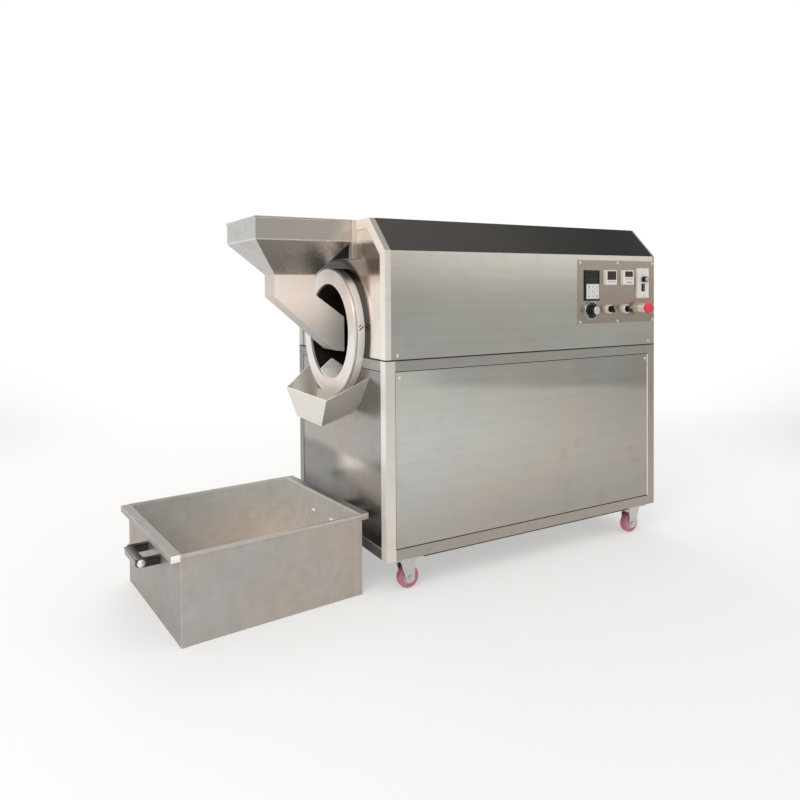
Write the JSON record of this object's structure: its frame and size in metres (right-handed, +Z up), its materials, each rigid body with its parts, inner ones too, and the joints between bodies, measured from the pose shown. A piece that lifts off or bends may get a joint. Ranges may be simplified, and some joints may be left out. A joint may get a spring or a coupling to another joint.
{
  "type": "nut roasting machine",
  "caption": "Stainless electric drum roaster on casters, with a feed hopper and duct into its round mouth, a discharge chute, a control plate and a loose catch bin.",
  "frame": {"origin": "middle of the whole footprint, bin included, on the floor", "axes": "+X along the cabinet from the drum mouth's end to the right end, +Y from the control side to the back, +Z up"},
  "size_m": [1.6875, 0.7204, 1.052],
  "materials": {
    "frame_stainless": "satin",
    "panel_stainless": "brushed",
    "polished_stainless": "polished",
    "dark_cover": "gloss black",
    "screw_steel": "bright",
    "drum_steel": "worn",
    "drive_steel": "oiled",
    "bearing_iron": "painted",
    "motor_alloy": "painted",
    "jacket_steel": "mill",
    "heater_steel": "heat darkened",
    "roller_steel": "turned",
    "zinc_steel": "zinc plated",
    "wheel_red": "satin",
    "control_stainless": "polished",
    "black_plastic": "satin",
    "white_plastic": "satin",
    "dial_black": "gloss",
    "chrome_trim": "polished",
    "stop_red": "gloss",
    "bin_stainless": "brushed",
    "handle_black": "gloss",
    "box_grey": "matte"
  },
  "bodies": {
    "cabinet": {"base_frame": "frame_stainless", "base_front_panel": "panel_stainless", "base_rear_panel": "panel_stainless", "base_left_panel": "polished_stainless", "base_right_panel": "panel_stainless", "base_floor_pan": "jacket_steel", "hood_frames": "frame_stainless", "hood_left_panel": "polished_stainless", "hood_right_panel": "panel_stainless", "hood_front_panel": "panel_stainless", "hood_rear_panel": "panel_stainless", "hood_cover": "dark_cover", "panel_screws": "screw_steel", "mouth_collar": "polished_stainless", "drive_chain": "drive_steel", "rear_bearing": "bearing_iron", "motor_mount": "bearing_iron", "gear_motor": "motor_alloy", "heat_jacket": "jacket_steel", "heating_elements": "heater_steel", "roller_brackets": "zinc_steel", "feed_hopper": "polished_stainless", "feed_duct": "polished_stainless", "hopper_bracket": "polished_stainless", "discharge_chute": "polished_stainless", "control_plate": "control_stainless", "keypad_unit": "black_plastic", "dial_plate": "dial_black", "temp_controllers": "white_plastic", "speed_controller": "white_plastic", "switch_bodies": "black_plastic", "button_bezels": "chrome_trim", "caster_plates": "zinc_steel", "cable_gland": "black_plastic", "electrics_box": "box_grey"},
    "drum": {"drum_shell": "drum_steel", "drum_mouth_ring": "polished_stainless", "drum_flights": "drum_steel", "drum_scoop": "white_plastic", "drum_shaft": "drive_steel"},
    "motor_output": {"motor_sprocket": "drive_steel"},
    "roller_front": {"support_roller_front": "roller_steel"},
    "roller_back": {"support_roller_back": "roller_steel"},
    "dial_knob": {"dial_knob": "black_plastic"},
    "speed_knob": {"speed_knob": "black_plastic"},
    "speed_rocker": {"speed_rocker": "black_plastic"},
    "direction_selector": {"direction_selector": "black_plastic"},
    "heat_selector": {"heat_selector": "black_plastic"},
    "estop_button": {"estop_button": "stop_red"},
    "bin": {"bin_shell": "bin_stainless", "bin_handles": "handle_black", "bin_handle_bolts": "screw_steel"},
    "swivel_front_left": {"caster_fork_front_left": "zinc_steel"},
    "wheel_front_left": {"caster_wheel_front_left": "wheel_red"},
    "swivel_front_right": {"caster_fork_front_right": "zinc_steel"},
    "wheel_front_right": {"caster_wheel_front_right": "wheel_red"},
    "swivel_rear_left": {"caster_fork_rear_left": "zinc_steel"},
    "wheel_rear_left": {"caster_wheel_rear_left": "wheel_red"},
    "swivel_rear_right": {"caster_fork_rear_right": "zinc_steel"},
    "wheel_rear_right": {"caster_wheel_rear_right": "wheel_red"}
  },
  "joints": [
    {"name": "drum_spin", "type": "hinge", "parent": "cabinet", "child": "drum", "pos_m": [0.52277, 0.01325, 0.717], "axis": [1, 0, 0], "continuous": true},
    {"name": "motor_spin", "type": "hinge", "parent": "cabinet", "child": "motor_output", "pos_m": [0.58077, 0.01325, 0.2035], "axis": [1, 0, 0], "continuous": true},
    {"name": "roller_front_spin", "type": "hinge", "parent": "cabinet", "child": "roller_front", "pos_m": [-0.16723, -0.10136, 0.58041], "axis": [1, 0, 0], "continuous": true},
    {"name": "roller_back_spin", "type": "hinge", "parent": "cabinet", "child": "roller_back", "pos_m": [-0.16723, 0.12786, 0.58041], "axis": [1, 0, 0], "continuous": true},
    {"name": "swivel_front_left_turn", "type": "hinge", "parent": "cabinet", "child": "swivel_front_left", "pos_m": [-0.13523, -0.27575, 0.0847], "axis": [0, 0, 1], "continuous": true},
    {"name": "wheel_front_left_spin", "type": "hinge", "parent": "swivel_front_left", "child": "wheel_front_left", "pos_m": [-0.12723, -0.27575, 0.0315], "axis": [0, 1, 0], "continuous": true},
    {"name": "swivel_front_right_turn", "type": "hinge", "parent": "cabinet", "child": "swivel_front_right", "pos_m": [0.76677, -0.27575, 0.0847], "axis": [0, 0, 1], "continuous": true},
    {"name": "wheel_front_right_spin", "type": "hinge", "parent": "swivel_front_right", "child": "wheel_front_right", "pos_m": [0.75877, -0.27575, 0.0315], "axis": [0, 1, 0], "continuous": true},
    {"name": "swivel_rear_left_turn", "type": "hinge", "parent": "cabinet", "child": "swivel_rear_left", "pos_m": [-0.13523, 0.30225, 0.0847], "axis": [0, 0, 1], "continuous": true},
    {"name": "wheel_rear_left_spin", "type": "hinge", "parent": "swivel_rear_left", "child": "wheel_rear_left", "pos_m": [-0.12723, 0.30225, 0.0315], "axis": [0, 1, 0], "continuous": true},
    {"name": "swivel_rear_right_turn", "type": "hinge", "parent": "cabinet", "child": "swivel_rear_right", "pos_m": [0.76677, 0.30225, 0.0847], "axis": [0, 0, 1], "continuous": true},
    {"name": "wheel_rear_right_spin", "type": "hinge", "parent": "swivel_rear_right", "child": "wheel_rear_right", "pos_m": [0.75877, 0.30225, 0.0315], "axis": [0, 1, 0], "continuous": true},
    {"name": "dial_knob_turn", "type": "hinge", "parent": "cabinet", "child": "dial_knob", "pos_m": [0.54527, -0.31325, 0.775], "axis": [0, 1, 0], "range_deg": [-150, 150]},
    {"name": "speed_knob_turn", "type": "hinge", "parent": "cabinet", "child": "speed_knob", "pos_m": [0.77777, -0.31325, 0.876], "axis": [0, 1, 0], "range_deg": [-150, 150]},
    {"name": "direction_selector_turn", "type": "hinge", "parent": "cabinet", "child": "direction_selector", "pos_m": [0.62277, -0.31325, 0.7775], "axis": [0, 1, 0], "range_deg": [-45, 45]},
    {"name": "heat_selector_turn", "type": "hinge", "parent": "cabinet", "child": "heat_selector", "pos_m": [0.69977, -0.31325, 0.777], "axis": [0, 1, 0], "range_deg": [0, 90]},
    {"name": "speed_rocker_tilt", "type": "hinge", "parent": "cabinet", "child": "speed_rocker", "pos_m": [0.77677, -0.32225, 0.848], "axis": [1, 0, 0], "range_deg": [0, 20]},
    {"name": "estop_press", "type": "slide", "parent": "cabinet", "child": "estop_button", "axis": [0, 1, 0], "range_m": [0, 0.006]},
    {"name": "bin_pull", "type": "slide", "parent": "cabinet", "child": "bin", "axis": [-0.9956, -0.0941, 0], "range_m": [0, 0.4]}
  ],
  "couplings": [
    {"joint": "motor_spin", "follows": "drum_spin", "ratio": 2.5333},
    {"joint": "roller_front_spin", "follows": "drum_spin", "ratio": -5.3571},
    {"joint": "roller_back_spin", "follows": "drum_spin", "ratio": -5.3571}
  ]
}
